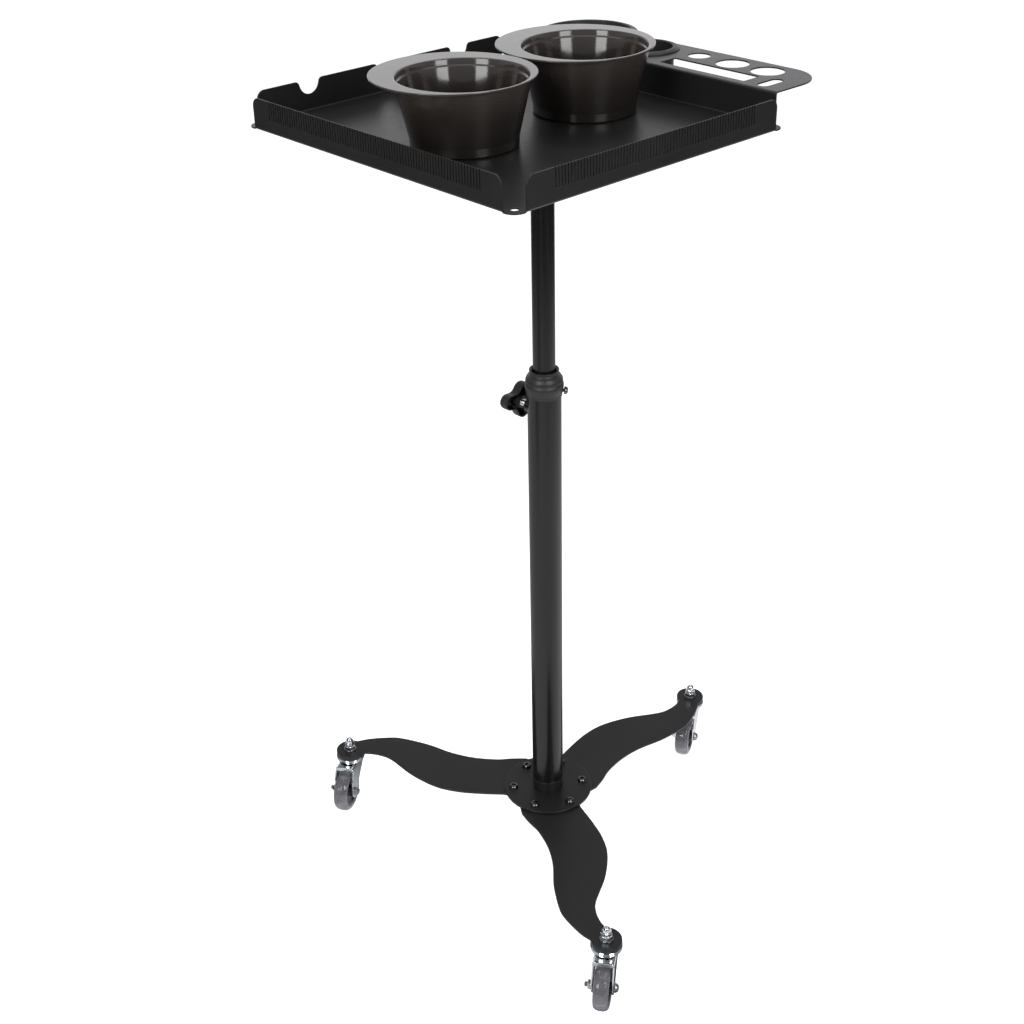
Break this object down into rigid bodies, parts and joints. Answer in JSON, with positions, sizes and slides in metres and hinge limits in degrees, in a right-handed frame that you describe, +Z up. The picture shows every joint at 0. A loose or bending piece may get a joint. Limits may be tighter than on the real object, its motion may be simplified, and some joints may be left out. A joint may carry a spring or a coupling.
{
  "type": "rolling salon trolley",
  "caption": "Height-adjustable rolling salon trolley: a square walled steel tray with comb edges, a tool shelf and tint bowls, on a clamped telescopic post with curved caster legs.",
  "frame": {"origin": "on the floor, on the axis of the post", "axes": "+Z up along the post; +X level, towards the tool shelf side of the tray and along leg 1; +Y level, towards the notched wall of the tray"},
  "size_m": [0.511, 0.5254, 1.002],
  "materials": {
    "powder_black": "matte black powder coat",
    "tube_black": "semi-gloss black lacquer",
    "bolt_black": "polished black nickel plating",
    "black_plastic": "satin moulded plastic",
    "wheel_plastic": "dark moulded plastic",
    "chrome": "bright chrome",
    "zinc": "zinc plated steel",
    "smoke_plastic": "smoky translucent plastic, polished",
    "clear_tyre": "translucent grey elastomer",
    "nylon": "natural nylon"
  },
  "bodies": {
    "base": {"hub_plate": "powder_black", "leg_1": "powder_black", "leg_2": "powder_black", "leg_3": "powder_black", "hub_bolts": "bolt_black", "hub_nuts": "zinc", "post_bolt": "zinc", "post_washer": "zinc", "post_plug": "zinc", "outer_tube": "tube_black", "clamp_boss": "tube_black", "collar": "black_plastic", "collar_screw": "chrome", "caster_washers": "zinc", "caster_nuts": "chrome", "caster_domes": "chrome", "stem_1": "zinc", "stem_2": "zinc", "stem_3": "zinc", "race_1": "chrome", "race_2": "chrome", "race_3": "chrome"},
    "clamp_pad": {"pressure_pad": "nylon"},
    "clamp_knob": {"clamp_knob": "black_plastic", "clamp_screw": "chrome"},
    "lift": {"glide_bush": "nylon"},
    "top": {"inner_tube": "tube_black", "tray_flange": "powder_black", "flange_set_screw": "zinc", "tray_studs": "zinc", "flange_nuts": "zinc", "tray_pan": "powder_black", "tool_cup": "black_plastic", "dryer_ring": "black_plastic"},
    "bowl_1": {"bowl_1": "smoke_plastic"},
    "bowl_2": {"bowl_2": "smoke_plastic"},
    "caster_1": {"fork_1": "chrome", "balls_1": "zinc", "axle_bolt_1": "zinc", "axle_nut_1": "chrome"},
    "wheel_1": {"wheel_core_1": "wheel_plastic", "tyre_1": "clear_tyre"},
    "caster_2": {"fork_2": "chrome", "balls_2": "zinc", "axle_bolt_2": "zinc", "axle_nut_2": "chrome"},
    "wheel_2": {"wheel_core_2": "wheel_plastic", "tyre_2": "clear_tyre"},
    "caster_3": {"fork_3": "chrome", "balls_3": "zinc", "axle_bolt_3": "zinc", "axle_nut_3": "chrome"},
    "wheel_3": {"wheel_core_3": "wheel_plastic", "tyre_3": "clear_tyre"}
  },
  "joints": [
    {"name": "post_height", "type": "slide", "parent": "base", "child": "lift", "axis": [0, 0, 1], "range_m": [-0.215, 0.175]},
    {"name": "tray_swivel", "type": "hinge", "parent": "lift", "child": "top", "pos_m": [0, 0, 0.5], "axis": [0, 0, 1], "continuous": true},
    {"name": "clamp_travel", "type": "slide", "parent": "base", "child": "clamp_pad", "axis": [-0.0349, 0.9994, 0], "range_m": [0, 0.0025]},
    {"name": "clamp_turn", "type": "hinge", "parent": "clamp_pad", "child": "clamp_knob", "pos_m": [-0.0015, 0.04297, 0.61], "axis": [-0.0349, 0.9994, 0], "range_deg": [0, 720]},
    {"name": "bowl_1_lift", "type": "slide", "parent": "top", "child": "bowl_1", "axis": [0, 0, 1], "range_m": [0, 0.15]},
    {"name": "bowl_2_lift", "type": "slide", "parent": "top", "child": "bowl_2", "axis": [0, 0, 1], "range_m": [0, 0.15]},
    {"name": "caster_1_swivel", "type": "hinge", "parent": "base", "child": "caster_1", "pos_m": [0.2725, 0, 0.065], "axis": [0, 0, 1], "continuous": true},
    {"name": "wheel_1_spin", "type": "hinge", "parent": "caster_1", "child": "wheel_1", "pos_m": [0.25212, -0.0113, 0.0275], "axis": [0.4848, -0.8746, 0], "continuous": true},
    {"name": "caster_2_swivel", "type": "hinge", "parent": "base", "child": "caster_2", "pos_m": [-0.13625, 0.23599, 0.065], "axis": [0, 0, 1], "continuous": true},
    {"name": "wheel_2_spin", "type": "hinge", "parent": "caster_2", "child": "wheel_2", "pos_m": [-0.15622, 0.22399, 0.0275], "axis": [0.515, -0.8572, 0], "continuous": true},
    {"name": "caster_3_swivel", "type": "hinge", "parent": "base", "child": "caster_3", "pos_m": [-0.13625, -0.23599, 0.065], "axis": [0, 0, 1], "continuous": true},
    {"name": "wheel_3_spin", "type": "hinge", "parent": "caster_3", "child": "wheel_3", "pos_m": [-0.1551, -0.24969, 0.0275], "axis": [0.5878, -0.809, 0], "continuous": true}
  ],
  "couplings": [
    {"joint": "clamp_turn", "follows": "clamp_travel", "rad_per_m": 5026.5}
  ]
}
